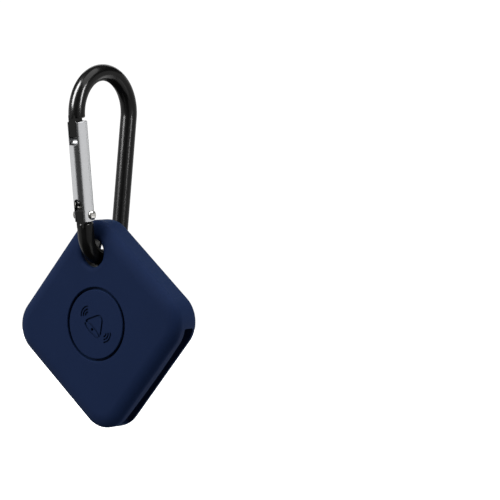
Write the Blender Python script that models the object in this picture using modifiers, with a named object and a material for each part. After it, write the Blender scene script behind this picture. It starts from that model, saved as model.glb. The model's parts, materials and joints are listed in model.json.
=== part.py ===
"""Bluetooth tracker tag in a silicone sleeve, hung on a small gated carabiner.

Run in Blender 4.5. Metres, +Z up. The origin is the top of the carabiner's eye, where a strap or ring
pulls. The tag's flat faces point along -Y (front, with the press pad) and +Y (back). The carabiner lies
in the YZ plane, with its gate towards -Y.
"""

import math

import bmesh
import bpy
from mathutils import Matrix, Vector

MM = 0.001

# Carabiner frame: one bent rod, its centreline two arcs joined by two straight legs.
ROD_RADIUS = 2.0 * MM
TOP_BEND_RADIUS = 9.75 * MM
BEND_SPACING = 28.65 * MM
BOW_CLEARANCE = 0.3 * MM
TONGUE_WIDTH = 2.1 * MM
NOSE_TONGUE_LENGTH = 4.75 * MM
NOSE_TONGUE_DEPTH = 2.6 * MM
TONGUE_FACE_INSET = 0.1 * MM
TONGUE_ROOT = 1.0 * MM
NOSE_ROOT = 0.8 * MM
NOSE_RELIEF = 0.9 * MM

# Gate: a bored and slotted tube that turns on a rivet through the frame's lower tongue.
GATE_OVERSIZE = 0.37 * MM
GATE_WALL = 0.6 * MM
RIVET_UP_LEG = 5.05 * MM
RIVET_RADIUS = 0.65 * MM
RIVET_HEAD_RADIUS = 1.15 * MM
RIVET_HEAD_HEIGHT = 0.75 * MM
GATE_BELOW_RIVET = 1.5 * MM
GATE_BELOW_GAP = 0.45 * MM
GATE_TOP_GAP = 0.8 * MM
GATE_HEEL_FLAT = 0.92 * MM
HEEL_SLOT_TOP = 4.1 * MM
BACK_SLOT_TOP = 0.4 * MM
TONGUE_SIDE_GAP = 0.2 * MM
TONGUE_BORE_GAP = 0.2 * MM
NOSE_END_GAP = 0.35 * MM
NOSE_BACK_GAP = 0.15 * MM
SPRING_PITCH = 0.75 * MM
FOLLOWER_FLANGE = 0.6 * MM
FOLLOWER_SIDE_GAP = 0.12 * MM
SPRING_WIRE_RADIUS = 0.18 * MM
SPRING_COILS = 7
FOLLOWER_LENGTH = 1.4 * MM

# Sleeve: a rounded square pocket of silicone, with the tracker inside.
SLEEVE_SIDE = 40.0 * MM
SLEEVE_THICKNESS = 8.0 * MM
SLEEVE_CORNER = 7.5 * MM
SLEEVE_FRONT_WALL = 1.4 * MM
SLEEVE_BACK_WALL = 0.8 * MM
SLEEVE_SIDE_WALL = 2.2 * MM
FRONT_FILLET = 2.0 * MM
BACK_FILLET = 1.6 * MM
HOLE_TO_SIDE = 7.8 * MM
HOLE_CLEARANCE_PER_THICKNESS = 0.1875
FRONT_RIM_ROUNDING = 0.6 * MM
BACK_RIM_ROUNDING = 0.45 * MM
SLOT_FRONT_LIP = 2.4 * MM
SLOT_BACK_LIP = 1.0 * MM
SLOT_LIP_BOW = 0.8 * MM
SLOT_LOW_TO_SIDE = 5.2 * MM
SLOT_HIGH_TO_SIDE = 3.8 * MM

# Press pad: the disc of the front wall inside the ring groove.
PAD_PER_SIDE = 0.21
GROOVE_WIDTH = 0.6 * MM
PAD_RIM_THICKNESS = 0.65 * MM
PAD_LIP_WIDTH = 1.2 * MM
PRESS_TRAVEL = 0.25 * MM

# Tracker: two snap-together shells round a board, a coin cell, a sounder and a switch.
POCKET_CLEARANCE = 0.1 * MM
SHELL_WALL = 1.0 * MM
SHELL_SIDE_WALL = 1.1 * MM
SHELL_EDGE = 0.6 * MM
SHELL_HOLE_CLEARANCE = 0.2 * MM
SHELL_HOLE_WALL = 1.2 * MM
FRONT_SHELL_DEPTH = 2.8 * MM
SEAL_THICKNESS = 0.3 * MM
FIT_GAP = 0.05 * MM
BUTTON_PER_PAD = 0.7
BUTTON_FACE = 0.6 * MM
BUTTON_FLANGE = 0.9 * MM
BUTTON_FLANGE_THICKNESS = 0.25 * MM
BOARD_OFF_WALL = 0.9 * MM
BOARD_THICKNESS = 0.6 * MM
BOARD_CLEARANCE = 0.55 * MM
CELL_PER_SIDE = 0.25
CELL_HEIGHT = 1.6 * MM
CELL_OFFSET_PER_SIDE = 0.05
CELL_LIFT = 0.15 * MM
CAN_WALL = 0.22 * MM
DOOR_PAST_CELL = 0.9 * MM
DOOR_PLATE = 0.45 * MM
DOOR_HUB_INSIDE_CELL = 0.1 * MM
DOOR_TAB_REACH = 1.0 * MM
DOOR_TAB_THICKNESS = 0.22 * MM
DOOR_TABS = 3
DOOR_TURN = math.radians(20.0)
GASKET_THICKNESS = 0.16 * MM
SOUNDER_PER_SIDE = 0.15
SOUNDER_OFFSET_PER_SIDE = 0.2375
SCREW_HEAD_RADIUS = 1.1 * MM
SCREW_RADIUS = 0.6 * MM

# How the tag hangs.
HOLE_BOTTOM_GAP = 0.24 * MM
TAG_ASIDE = -0.27 * MM
TAG_LEAN = math.radians(-4.7)
DIAMOND_TURN = math.radians(45.0)

# Places worked out from the sizes above.
BOTTOM_BEND_RADIUS = SLEEVE_THICKNESS / 2 + BOW_CLEARANCE + ROD_RADIUS
LEG_TILT = math.asin((TOP_BEND_RADIUS - BOTTOM_BEND_RADIUS) / BEND_SPACING)
LEG_LENGTH = BEND_SPACING * math.cos(LEG_TILT)
TOP_CENTRE_Z = ROD_RADIUS - TOP_BEND_RADIUS
BOTTOM_CENTRE_Z = TOP_CENTRE_Z - BEND_SPACING
HOLE_RADIUS = ROD_RADIUS + HOLE_CLEARANCE_PER_THICKNESS * SLEEVE_THICKNESS
HOLE_Z = BOTTOM_CENTRE_Z - BOTTOM_BEND_RADIUS - ROD_RADIUS - HOLE_BOTTOM_GAP + HOLE_RADIUS
GATE_RADIUS = ROD_RADIUS + GATE_OVERSIZE
GATE_BORE_RADIUS = GATE_RADIUS - GATE_WALL
HEEL_ROUNDING = GATE_RADIUS - GATE_HEEL_FLAT
HEEL_SHOULDER = -(GATE_BELOW_RIVET + GATE_BELOW_GAP)
NOSE_SHOULDER = LEG_LENGTH - RIVET_UP_LEG
GATE_TOP = NOSE_SHOULDER - GATE_TOP_GAP

FRONT_Y = -SLEEVE_THICKNESS / 2
BACK_Y = SLEEVE_THICKNESS / 2
POCKET_FRONT_Y = FRONT_Y + SLEEVE_FRONT_WALL
POCKET_BACK_Y = BACK_Y - SLEEVE_BACK_WALL
POCKET_HALF = SLEEVE_SIDE / 2 - SLEEVE_SIDE_WALL
POCKET_CORNER = SLEEVE_CORNER - SLEEVE_SIDE_WALL
HOLE_INSET = SLEEVE_SIDE / 2 - HOLE_TO_SIDE
PAD_RADIUS = PAD_PER_SIDE * SLEEVE_SIDE
BUTTON_RADIUS = BUTTON_PER_PAD * PAD_RADIUS

SHELL_HALF = POCKET_HALF - POCKET_CLEARANCE
SHELL_CORNER = POCKET_CORNER - POCKET_CLEARANCE
SHELL_FRONT_Y = POCKET_FRONT_Y + POCKET_CLEARANCE
SHELL_BACK_Y = POCKET_BACK_Y - POCKET_CLEARANCE
SHELL_INNER_HALF = SHELL_HALF - SHELL_SIDE_WALL
SHELL_INNER_CORNER = SHELL_CORNER - SHELL_SIDE_WALL
SHELL_HOLE_RADIUS = HOLE_RADIUS + SHELL_HOLE_CLEARANCE
HOLE_BOSS_RADIUS = SHELL_HOLE_RADIUS + SHELL_HOLE_WALL
FRONT_RIM_Y = SHELL_FRONT_Y + FRONT_SHELL_DEPTH
SEAL_Y = FRONT_RIM_Y + FIT_GAP
REAR_RIM_Y = SEAL_Y + SEAL_THICKNESS + FIT_GAP
FRONT_INNER_Y = SHELL_FRONT_Y + SHELL_WALL
REAR_INNER_Y = SHELL_BACK_Y - SHELL_WALL
BOARD_FRONT_Y = FRONT_INNER_Y + BOARD_OFF_WALL
BOARD_BACK_Y = BOARD_FRONT_Y + BOARD_THICKNESS
CELL_FRONT_Y = BOARD_BACK_Y + CELL_LIFT
CELL_BACK_Y = CELL_FRONT_Y + CELL_HEIGHT
CELL_RADIUS = CELL_PER_SIDE * SLEEVE_SIDE
CELL_OFFSET = CELL_OFFSET_PER_SIDE * SLEEVE_SIDE
CELL_PLACE = (CELL_OFFSET, -CELL_OFFSET)
DOOR_RADIUS = CELL_RADIUS + DOOR_PAST_CELL
DOOR_HUB_RADIUS = CELL_RADIUS - DOOR_HUB_INSIDE_CELL
SOUNDER_RADIUS = SOUNDER_PER_SIDE * SLEEVE_SIDE
SOUNDER_OFFSET = SOUNDER_OFFSET_PER_SIDE * SLEEVE_SIDE
HOLE_PLACE = (-HOLE_INSET, HOLE_INSET)
SCREW_INSET = SHELL_INNER_HALF - 3.5 * MM
SCREW_PLACES = ((SCREW_INSET, SCREW_INSET), (SCREW_INSET, -SCREW_INSET), (-SCREW_INSET, 3.0 * MM))

FACE_ALONG_Y = Matrix.Rotation(math.radians(-90.0), 4, "X")


def start_scene():
    """Empties the scene and makes the collections for the parts and for their cutters."""
    for old in list(bpy.data.objects):
        bpy.data.objects.remove(old, do_unlink=True)
    for name in ("bluetooth_tracker_tag", "cutters"):
        group = bpy.data.collections.new(name)
        bpy.context.scene.collection.children.link(group)


def finish(name, colour, roughness, metallic=0.0):
    """A plain material, made once for each name."""
    found = bpy.data.materials.get(name)
    if found:
        return found
    made = bpy.data.materials.new(name)
    made.use_nodes = True
    shader = made.node_tree.nodes["Principled BSDF"]
    shader.inputs["Base Color"].default_value = (*colour, 1.0)
    shader.inputs["Roughness"].default_value = roughness
    shader.inputs["Metallic"].default_value = metallic
    return made


def black_anodised():
    return finish("black_anodised_aluminium", (0.012, 0.012, 0.013), 0.28, 1.0)


def bare_aluminium():
    return finish("bare_aluminium", (0.70, 0.71, 0.73), 0.30, 1.0)


def steel():
    return finish("plated_steel", (0.62, 0.62, 0.62), 0.25, 1.0)


def silicone():
    return finish("navy_silicone", (0.012, 0.024, 0.075), 0.60)


def black_plastic():
    return finish("black_abs", (0.012, 0.012, 0.014), 0.45)


def dark_rubber():
    return finish("black_rubber", (0.02, 0.02, 0.02), 0.7)


def laminate():
    return finish("green_board_laminate", (0.01, 0.12, 0.05), 0.4)


def ceramic():
    return finish("white_ceramic", (0.75, 0.73, 0.68), 0.4)


def brass():
    return finish("brass", (0.75, 0.55, 0.22), 0.3, 1.0)


def chip_resin():
    return finish("chip_resin", (0.02, 0.02, 0.022), 0.5)


def foam():
    return finish("grey_foam", (0.12, 0.12, 0.12), 0.9)


def empty(name, parent=None, location=(0, 0, 0), rotation=(0, 0, 0)):
    made = bpy.data.objects.new(name, None)
    made.empty_display_size = 5 * MM
    made.location = location
    made.rotation_euler = rotation
    made.parent = parent
    bpy.data.collections["bluetooth_tracker_tag"].objects.link(made)
    return made


def place(obj, parent, material):
    """Links a part, or with no material a cutter, and hangs it on its empty."""
    if material is None:
        bpy.data.collections["cutters"].objects.link(obj)
        obj.hide_render = True
        obj.display_type = "WIRE"
    else:
        bpy.data.collections["bluetooth_tracker_tag"].objects.link(obj)
        obj.data.materials.append(material)
        obj.data.shade_smooth()
        obj.data.set_sharp_from_angle(angle=math.radians(35))
    obj.parent = parent
    return obj


def from_bmesh(name, bm, parent, material):
    mesh = bpy.data.meshes.new(name)
    bm.to_mesh(mesh)
    bm.free()
    return place(bpy.data.objects.new(name, mesh), parent, material)


def edges_along(bm, axis):
    """Edges that run along one axis."""
    found = []
    for edge in bm.edges:
        run = edge.verts[0].co - edge.verts[1].co
        if abs(run[axis]) > 0.999 * run.length:
            found.append(edge)
    return found


def edges_at(bm, axis, height):
    """Edges that lie flat at one height on an axis."""
    near = 0.001 * MM
    return [e for e in bm.edges if all(abs(v.co[axis] - height) < near for v in e.verts)]


def box_mesh(low, high):
    bm = bmesh.new()
    low, high = Vector(low), Vector(high)
    bmesh.ops.create_cube(bm, size=1.0)
    bmesh.ops.scale(bm, vec=high - low, verts=bm.verts)
    bmesh.ops.translate(bm, vec=(low + high) / 2, verts=bm.verts)
    return bm


def block(name, parent, material, low, high, edge=0.0):
    """A box between two corners, with all its edges rounded where edge is given."""
    bm = box_mesh(low, high)
    if edge:
        round_edges(bm, list(bm.edges), edge, 2)
    return from_bmesh(name, bm, parent, material)


def round_edges(bm, edges, radius, segments):
    bmesh.ops.bevel(bm, geom=edges, offset=radius, offset_type="OFFSET", segments=segments,
                    profile=0.5, affect="EDGES", material=-1)


def slab_mesh(half, corner, low_y, high_y, segments, front=0.0, back=0.0, fillet_segments=4):
    """A rounded square plate facing Y, with its front and back outlines rounded over."""
    bm = box_mesh((-half, low_y, -half), (half, high_y, half))
    round_edges(bm, edges_along(bm, 1), corner, segments)
    if front:
        round_edges(bm, edges_at(bm, 1, low_y), front, fillet_segments)
    if back:
        round_edges(bm, edges_at(bm, 1, high_y), back, fillet_segments)
    return bm


def slab(name, parent, material, half, corner, low_y, high_y, segments=6, **rounding):
    bm = slab_mesh(half, corner, low_y, high_y, segments, **rounding)
    return from_bmesh(name, bm, parent, material)


def disc(name, parent, material, radius, low_y, high_y, centre=(0.0, 0.0), sides=32):
    """A cylinder facing Y, its centre given as X and Z."""
    bm = bmesh.new()
    bmesh.ops.create_cone(bm, cap_ends=True, segments=sides, radius1=radius, radius2=radius,
                          depth=high_y - low_y, matrix=FACE_ALONG_Y)
    middle = Vector((centre[0], (low_y + high_y) / 2, centre[1]))
    bmesh.ops.translate(bm, vec=middle, verts=bm.verts)
    return from_bmesh(name, bm, parent, material)


def turned(name, parent, material, profile, centre=(0.0, 0.0), steps=40, closed=False):
    """A shape turned about an axis along Y: profile holds (radius, y) from the back to the front.

    A closed profile makes a ring. The profile is drawn at +X and runs down its outer side.
    """
    mesh = bpy.data.meshes.new(name)
    bm = bmesh.new()
    points = [bm.verts.new((radius, 0.0, height)) for radius, height in profile]
    for first, second in zip(points, points[1:]):
        bm.edges.new((first, second))
    if closed:
        bm.edges.new((points[-1], points[0]))
    bm.to_mesh(mesh)
    bm.free()
    obj = place(bpy.data.objects.new(name, mesh), parent, material)
    obj.location = (centre[0], 0.0, centre[1])
    obj.rotation_euler = (math.radians(-90.0), 0.0, 0.0)
    screw = obj.modifiers.new("Turned", "SCREW")
    screw.axis = "Z"
    screw.angle = math.tau
    screw.steps = screw.render_steps = steps
    screw.use_merge_vertices = True
    screw.merge_threshold = 0.000001
    screw.use_smooth_shade = True
    return obj


def boolean(obj, other, operation):
    modifier = obj.modifiers.new(operation.title(), "BOOLEAN")
    modifier.operation = operation
    modifier.solver = "EXACT"
    modifier.object = other


def cut(obj, *cutters):
    for cutter in cutters:
        boolean(obj, cutter, "DIFFERENCE")


def join(obj, *others):
    for other in others:
        boolean(obj, other, "UNION")


def bent_rod(name, path, radius, sides_level):
    """A round rod along a path, as a bmesh with welded caps, in world space."""
    curve = bpy.data.curves.new(name, "CURVE")
    curve.dimensions = "3D"
    curve.bevel_depth = radius
    curve.bevel_resolution = sides_level
    curve.use_fill_caps = True
    curve.twist_mode = "MINIMUM"
    spline = curve.splines.new("POLY")
    spline.points.add(len(path) - 1)
    for point, co in zip(spline.points, path):
        point.co = (*co, 1.0)
    drawn = bpy.data.objects.new(name + "_path", curve)
    bpy.context.scene.collection.objects.link(drawn)
    graph = bpy.context.evaluated_depsgraph_get()
    mesh = bpy.data.meshes.new_from_object(drawn.evaluated_get(graph))
    bpy.data.objects.remove(drawn, do_unlink=True)
    bpy.data.curves.remove(curve)
    bm = bmesh.new()
    bm.from_mesh(mesh)
    bmesh.ops.remove_doubles(bm, verts=bm.verts, dist=0.0005 * MM)
    bmesh.ops.recalc_face_normals(bm, faces=bm.faces)
    bpy.data.meshes.remove(mesh)
    return bm


def arc(centre_y, centre_z, radius, start, end, steps):
    """Points in the YZ plane, angles measured from +Y towards +Z."""
    points = []
    for index in range(steps + 1):
        angle = start + (end - start) * index / steps
        points.append((0.0, centre_y + radius * math.cos(angle), centre_z + radius * math.sin(angle)))
    return points


def leg_point(along):
    """A point on the gate leg's centreline, counted up from where the lower bend ends."""
    y = -(BOTTOM_BEND_RADIUS * math.cos(LEG_TILT) + along * math.sin(LEG_TILT))
    z = BOTTOM_CENTRE_Z - BOTTOM_BEND_RADIUS * math.sin(LEG_TILT) + along * math.cos(LEG_TILT)
    return Vector((0.0, y, z))


def yz_plate(name, parent, material, outline, half_width, middle=0.0):
    """A plate in its parent's YZ plane: outline holds (y, z) points, thickness runs along X."""
    bm = bmesh.new()
    face = bm.faces.new([bm.verts.new((middle - half_width, y, z)) for y, z in outline])
    grown = bmesh.ops.extrude_face_region(bm, geom=[face])
    moved = [item for item in grown["geom"] if isinstance(item, bmesh.types.BMVert)]
    bmesh.ops.translate(bm, vec=(2 * half_width, 0.0, 0.0), verts=moved)
    bmesh.ops.recalc_face_normals(bm, faces=bm.faces)
    return from_bmesh(name, bm, parent, material)


def cross_cylinder(name, parent, material, radius, half_length, sides=24):
    """A cylinder along X, centred on its parent."""
    bm = bmesh.new()
    bmesh.ops.create_cone(bm, cap_ends=True, segments=sides, radius1=radius, radius2=radius,
                          depth=2 * half_length, matrix=Matrix.Rotation(math.radians(90.0), 4, "Y"))
    return from_bmesh(name, bm, parent, material)


def make_clip_frame(leg):
    """The carabiner's bent rod, with a tongue for the gate's rivet and a nose tongue at the other end."""
    heel = [leg_point(RIVET_UP_LEG + HEEL_SHOULDER)]
    lower = arc(0.0, BOTTOM_CENTRE_Z, BOTTOM_BEND_RADIUS, math.pi + LEG_TILT, math.tau - LEG_TILT, 20)
    upper = arc(0.0, TOP_CENTRE_Z, TOP_BEND_RADIUS, -LEG_TILT, math.pi + LEG_TILT, 24)
    nose = [leg_point(RIVET_UP_LEG + NOSE_SHOULDER)]
    bm = bent_rod("clip_frame", heel + lower + upper[:-1] + nose, ROD_RADIUS, 6)
    frame = from_bmesh("clip_frame", bm, None, black_anodised())
    outward = -(ROD_RADIUS - TONGUE_FACE_INSET)
    inward = inward_reach()
    root = HEEL_SHOULDER - TONGUE_ROOT
    crown = inward
    quarter = [(inward * math.cos(a), inward * math.sin(a)) for a in
               (math.radians(15.0 * step) for step in range(7))]
    tang = [(outward, root), (inward, root)] + quarter
    tang += [(outward + 0.5 * MM, crown), (outward, crown - 0.5 * MM)]
    heel_tongue = yz_plate("heel_tongue_form", leg, None, tang, TONGUE_WIDTH / 2)
    tip = NOSE_SHOULDER - NOSE_TONGUE_LENGTH
    deep = outward + NOSE_TONGUE_DEPTH
    nose_outline = [(outward, tip + 0.4 * MM), (outward + 0.4 * MM, tip), (deep - NOSE_RELIEF, tip),
                    (deep, tip + NOSE_RELIEF), (deep, NOSE_SHOULDER + NOSE_ROOT),
                    (outward, NOSE_SHOULDER + NOSE_ROOT)]
    nose_tongue = yz_plate("nose_tongue_form", leg, None, nose_outline, TONGUE_WIDTH / 2)
    rivet_hole = cross_cylinder("rivet_hole", leg, None, RIVET_RADIUS + FIT_GAP, 4 * MM)
    join(frame, heel_tongue, nose_tongue)
    cut(frame, rivet_hole)


def make_gate(leg):
    """The tube, its rivet, and the spring and follower that push it shut."""
    bm = bmesh.new()
    height = GATE_TOP + GATE_BELOW_RIVET
    bmesh.ops.create_cone(bm, cap_ends=True, segments=28, radius1=GATE_RADIUS, radius2=GATE_RADIUS,
                          depth=height)
    bmesh.ops.translate(bm, vec=(0, 0, GATE_TOP - height / 2), verts=bm.verts)
    tube = from_bmesh("gate_tube", bm, leg, bare_aluminium())
    bore_top = 2 * inward_reach() + SPRING_COILS * SPRING_PITCH + FOLLOWER_LENGTH
    bm = bmesh.new()
    bore_height = bore_top + GATE_BELOW_RIVET + MM
    bmesh.ops.create_cone(bm, cap_ends=True, segments=24, radius1=GATE_BORE_RADIUS,
                          radius2=GATE_BORE_RADIUS, depth=bore_height)
    bmesh.ops.translate(bm, vec=(0, 0, bore_top - bore_height / 2), verts=bm.verts)
    bore = from_bmesh("gate_bore", bm, leg, None)
    slot_half = TONGUE_WIDTH / 2 + TONGUE_SIDE_GAP
    outside = GATE_RADIUS + MM
    heel_slot = block("gate_heel_slot", leg, None, (-slot_half, -outside, -2 * outside),
                      (slot_half, 0.0, HEEL_SLOT_TOP))
    back_slot = block("gate_back_slot", leg, None, (-slot_half, 0.0, -2 * outside),
                      (slot_half, outside, BACK_SLOT_TOP))
    notch_floor = NOSE_SHOULDER - NOSE_TONGUE_LENGTH - NOSE_END_GAP
    notch_deep = -(ROD_RADIUS - TONGUE_FACE_INSET) + NOSE_TONGUE_DEPTH + NOSE_BACK_GAP
    notch = block("gate_nose_notch", leg, None, (-slot_half, -outside, notch_floor),
                  (slot_half, notch_deep, GATE_TOP + 2 * MM))
    pin_hole = cross_cylinder("gate_pin_hole", leg, None, RIVET_RADIUS + FIT_GAP, 4 * MM)
    heel_corner = [(GATE_RADIUS + MM, -GATE_BELOW_RIVET - MM),
                   (GATE_RADIUS + MM, -GATE_BELOW_RIVET + HEEL_ROUNDING)]
    for step in range(7):
        angle = math.radians(-15.0 * step)
        heel_corner.append((GATE_RADIUS - HEEL_ROUNDING * (1 - math.cos(angle)),
                            -GATE_BELOW_RIVET + HEEL_ROUNDING * (1 + math.sin(angle))))
    heel_corner.append((GATE_RADIUS - HEEL_ROUNDING, -GATE_BELOW_RIVET - MM))
    heel_relief = yz_plate("gate_heel_relief", leg, None, heel_corner, 3 * MM)
    cut(tube, bore, heel_slot, back_slot, notch, pin_hole, heel_relief)

    head_start = GATE_RADIUS + FIT_GAP
    profile = [(0.0, head_start + RIVET_HEAD_HEIGHT)]
    for step in range(1, 6):
        angle = math.radians(18.0 * step)
        profile.append((RIVET_HEAD_RADIUS * math.sin(angle),
                        head_start + RIVET_HEAD_HEIGHT * math.cos(angle)))
    profile += [(RIVET_RADIUS, head_start)]
    profile += [(radius, -height) for radius, height in reversed(profile)]
    rivet = turned("gate_rivet", leg, steel(), profile, steps=20)
    rivet.rotation_euler = (0.0, math.radians(90.0), 0.0)

    reach = inward_reach() + 2 * FIT_GAP
    pin_radius = GATE_BORE_RADIUS - FOLLOWER_SIDE_GAP
    profile = [(0.0, reach + FOLLOWER_LENGTH), (0.6 * MM, reach + FOLLOWER_LENGTH),
               (0.6 * MM, reach + FOLLOWER_FLANGE), (pin_radius, reach + FOLLOWER_FLANGE),
               (pin_radius, reach + 0.25 * MM), (pin_radius - 0.25 * MM, reach), (0.0, reach)]
    follower = turned("spring_follower", leg, steel(), profile, steps=16)
    follower.rotation_euler = (0.0, 0.0, 0.0)

    low = reach + FOLLOWER_FLANGE + SPRING_WIRE_RADIUS + FIT_GAP
    high = bore_top - SPRING_WIRE_RADIUS - FIT_GAP
    coil_radius = pin_radius - SPRING_WIRE_RADIUS - FIT_GAP
    turns = 12
    path = []
    for index in range(SPRING_COILS * turns + 1):
        angle = math.tau * index / turns
        height = low + (high - low) * index / (SPRING_COILS * turns)
        path.append((coil_radius * math.cos(angle), coil_radius * math.sin(angle), height))
    from_bmesh("gate_spring", bent_rod("gate_spring", path, SPRING_WIRE_RADIUS, 0), leg, steel())


def inward_reach():
    """How far the heel tongue's rounded top stands from the rivet's centre."""
    return GATE_BORE_RADIUS - TONGUE_BORE_GAP


def make_sleeve(tag):
    sleeve = slab("silicone_sleeve", tag, silicone(), SLEEVE_SIDE / 2, SLEEVE_CORNER, FRONT_Y, BACK_Y,
                  segments=10, front=FRONT_FILLET, back=BACK_FILLET, fillet_segments=5)
    pocket = slab("sleeve_pocket", tag, None, POCKET_HALF, POCKET_CORNER, POCKET_FRONT_Y,
                  POCKET_BACK_Y, segments=6, front=0.4 * MM, back=0.3 * MM, fillet_segments=1)
    slot = yz_plate("sleeve_slot", tag, None, slot_outline(), SLEEVE_SIDE_WALL + MM, SLEEVE_SIDE / 2)
    hole = turned("sleeve_hole", tag, None, hole_profile(), HOLE_PLACE, steps=32)
    opening = PAD_RADIUS + GROOVE_WIDTH
    lip_y = FRONT_Y + PAD_RIM_THICKNESS + PRESS_TRAVEL + FIT_GAP
    window = turned("sleeve_pad_window", tag, None,
                    [(0.0, POCKET_FRONT_Y + MM), (opening - PAD_LIP_WIDTH, POCKET_FRONT_Y + MM),
                     (opening - PAD_LIP_WIDTH, lip_y), (opening, lip_y), (opening, FRONT_Y - MM),
                     (0.0, FRONT_Y - MM)], steps=48)
    cut(sleeve, pocket, slot, hole, window)

    core = BUTTON_RADIUS - 0.3 * MM
    rim_y = FRONT_Y + PAD_RIM_THICKNESS
    core_y = POCKET_FRONT_Y + POCKET_CLEARANCE - 2 * FIT_GAP
    turned("sleeve_press_pad", tag, silicone(),
           [(0.0, core_y), (core, core_y), (core, rim_y), (PAD_RADIUS, rim_y),
            (PAD_RADIUS, FRONT_Y + 0.1 * MM), (PAD_RADIUS - 0.1 * MM, FRONT_Y), (0.0, FRONT_Y)], steps=48)


def slot_outline():
    """The slot in the sleeve's side, with its front lip bowed forward at both ends."""
    low, high = SLOT_LOW_TO_SIDE - SLEEVE_SIDE / 2, SLEEVE_SIDE / 2 - SLOT_HIGH_TO_SIDE
    back = POCKET_BACK_Y - SLOT_BACK_LIP
    steps = 12
    outline = [(back, high), (back, low)]
    for index in range(steps + 1):
        off_middle = 2 * index / steps - 1
        outline.append((POCKET_FRONT_Y + SLOT_FRONT_LIP - SLOT_LIP_BOW * off_middle**2,
                        low + (high - low) * index / steps))
    return outline


def hole_profile():
    """The hole through the sleeve, from back to front, flared by the rounding of both rims."""
    points = [(0.0, BACK_Y + MM), (HOLE_RADIUS + BACK_RIM_ROUNDING, BACK_Y + MM)]
    for step in range(4):
        angle = math.radians(30.0 * step)
        points.append((HOLE_RADIUS + BACK_RIM_ROUNDING * (1 - math.sin(angle)),
                       BACK_Y - BACK_RIM_ROUNDING * (1 - math.cos(angle))))
    for step in range(5):
        angle = math.radians(22.5 * step)
        points.append((HOLE_RADIUS + FRONT_RIM_ROUNDING * (1 - math.cos(angle)),
                       FRONT_Y + FRONT_RIM_ROUNDING * (1 - math.sin(angle))))
    points += [(HOLE_RADIUS + FRONT_RIM_ROUNDING, FRONT_Y - MM), (0.0, FRONT_Y - MM)]
    return points


def make_shells(tag):
    """The tracker's two shells and the seal between their rims."""
    front = slab("tracker_front_shell", tag, black_plastic(), SHELL_HALF, SHELL_CORNER, SHELL_FRONT_Y,
                 FRONT_RIM_Y, front=SHELL_EDGE, fillet_segments=3)
    rear = slab("tracker_rear_shell", tag, black_plastic(), SHELL_HALF, SHELL_CORNER, REAR_RIM_Y,
                SHELL_BACK_Y, back=SHELL_EDGE, fillet_segments=3)
    seal = slab("shell_seal", tag, dark_rubber(), SHELL_HALF - 0.3 * MM, SHELL_CORNER - 0.3 * MM,
                SEAL_Y, SEAL_Y + SEAL_THICKNESS)
    hollow_low, hollow_high = FRONT_INNER_Y, REAR_INNER_Y
    for number, shell in enumerate((front, rear, seal)):
        low = hollow_low if shell is front else FRONT_RIM_Y - MM
        high = hollow_high if shell is rear else FRONT_RIM_Y + MM
        hollow = slab(f"shell_hollow_{number}", tag, None, SHELL_INNER_HALF, SHELL_INNER_CORNER, low, high)
        cut(shell, hollow)
    for number, (shell, low, high) in enumerate(((front, SHELL_FRONT_Y + 0.3 * MM, FRONT_RIM_Y),
                                                 (rear, REAR_RIM_Y, SHELL_BACK_Y - 0.3 * MM))):
        join(shell, disc(f"hole_boss_{number}", tag, None, HOLE_BOSS_RADIUS, low, high, HOLE_PLACE))
    hole = disc("shell_hole", tag, None, SHELL_HOLE_RADIUS, FRONT_Y, BACK_Y, HOLE_PLACE)
    for number, centre in enumerate(SCREW_PLACES):
        join(front, disc(f"screw_boss_{number}", tag, None, 1.6 * MM, FRONT_INNER_Y - 0.2 * MM,
                         BOARD_FRONT_Y - FIT_GAP, centre, sides=16))
    for number, centre in enumerate(SCREW_PLACES):
        cut(front, disc(f"screw_pilot_{number}", tag, None, SCREW_RADIUS + FIT_GAP,
                        SHELL_FRONT_Y + 0.5 * MM, BOARD_FRONT_Y + MM, centre, sides=12))
    button_hole = disc("button_hole", tag, None, BUTTON_RADIUS + 2 * FIT_GAP, FRONT_Y, 0.0)
    cut(front, hole, button_hole)

    ledge_y = SHELL_BACK_Y - DOOR_PLATE - GASKET_THICKNESS - FIT_GAP
    recess = disc("door_recess", tag, None, DOOR_RADIUS + 2 * FIT_GAP, ledge_y, BACK_Y, CELL_PLACE, 40)
    throat = disc("door_throat", tag, None, DOOR_HUB_RADIUS + 0.4 * MM, 0.0, BACK_Y, CELL_PLACE, 40)
    cut(rear, hole, recess, throat)
    for number in range(DOOR_TABS):
        cut(rear, door_tab(f"door_notch_{number}", tag, None, number, DOOR_TURN, 0.25 * MM, BACK_Y))
    seal_gap = disc("seal_hole_clearance", tag, None, HOLE_BOSS_RADIUS + 0.8 * MM, 0.0, 2 * MM, HOLE_PLACE)
    cut(seal, seal_gap)


def door_tab(name, tag, material, number, turn, grow, high_y):
    """One bayonet tab of the battery door, or with some growth the notch that lets it out."""
    low_y = CELL_BACK_Y + FIT_GAP
    bm = box_mesh((-1.6 * MM - grow, low_y - grow, DOOR_HUB_RADIUS - MM),
                  (1.6 * MM + grow, high_y, DOOR_HUB_RADIUS + DOOR_TAB_REACH + grow))
    angle = math.tau * number / DOOR_TABS + turn
    bmesh.ops.rotate(bm, cent=(0, 0, 0), matrix=Matrix.Rotation(angle, 3, "Y"), verts=bm.verts)
    bmesh.ops.translate(bm, vec=(CELL_PLACE[0], 0.0, CELL_PLACE[1]), verts=bm.verts)
    return from_bmesh(name, bm, tag, material)


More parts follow.
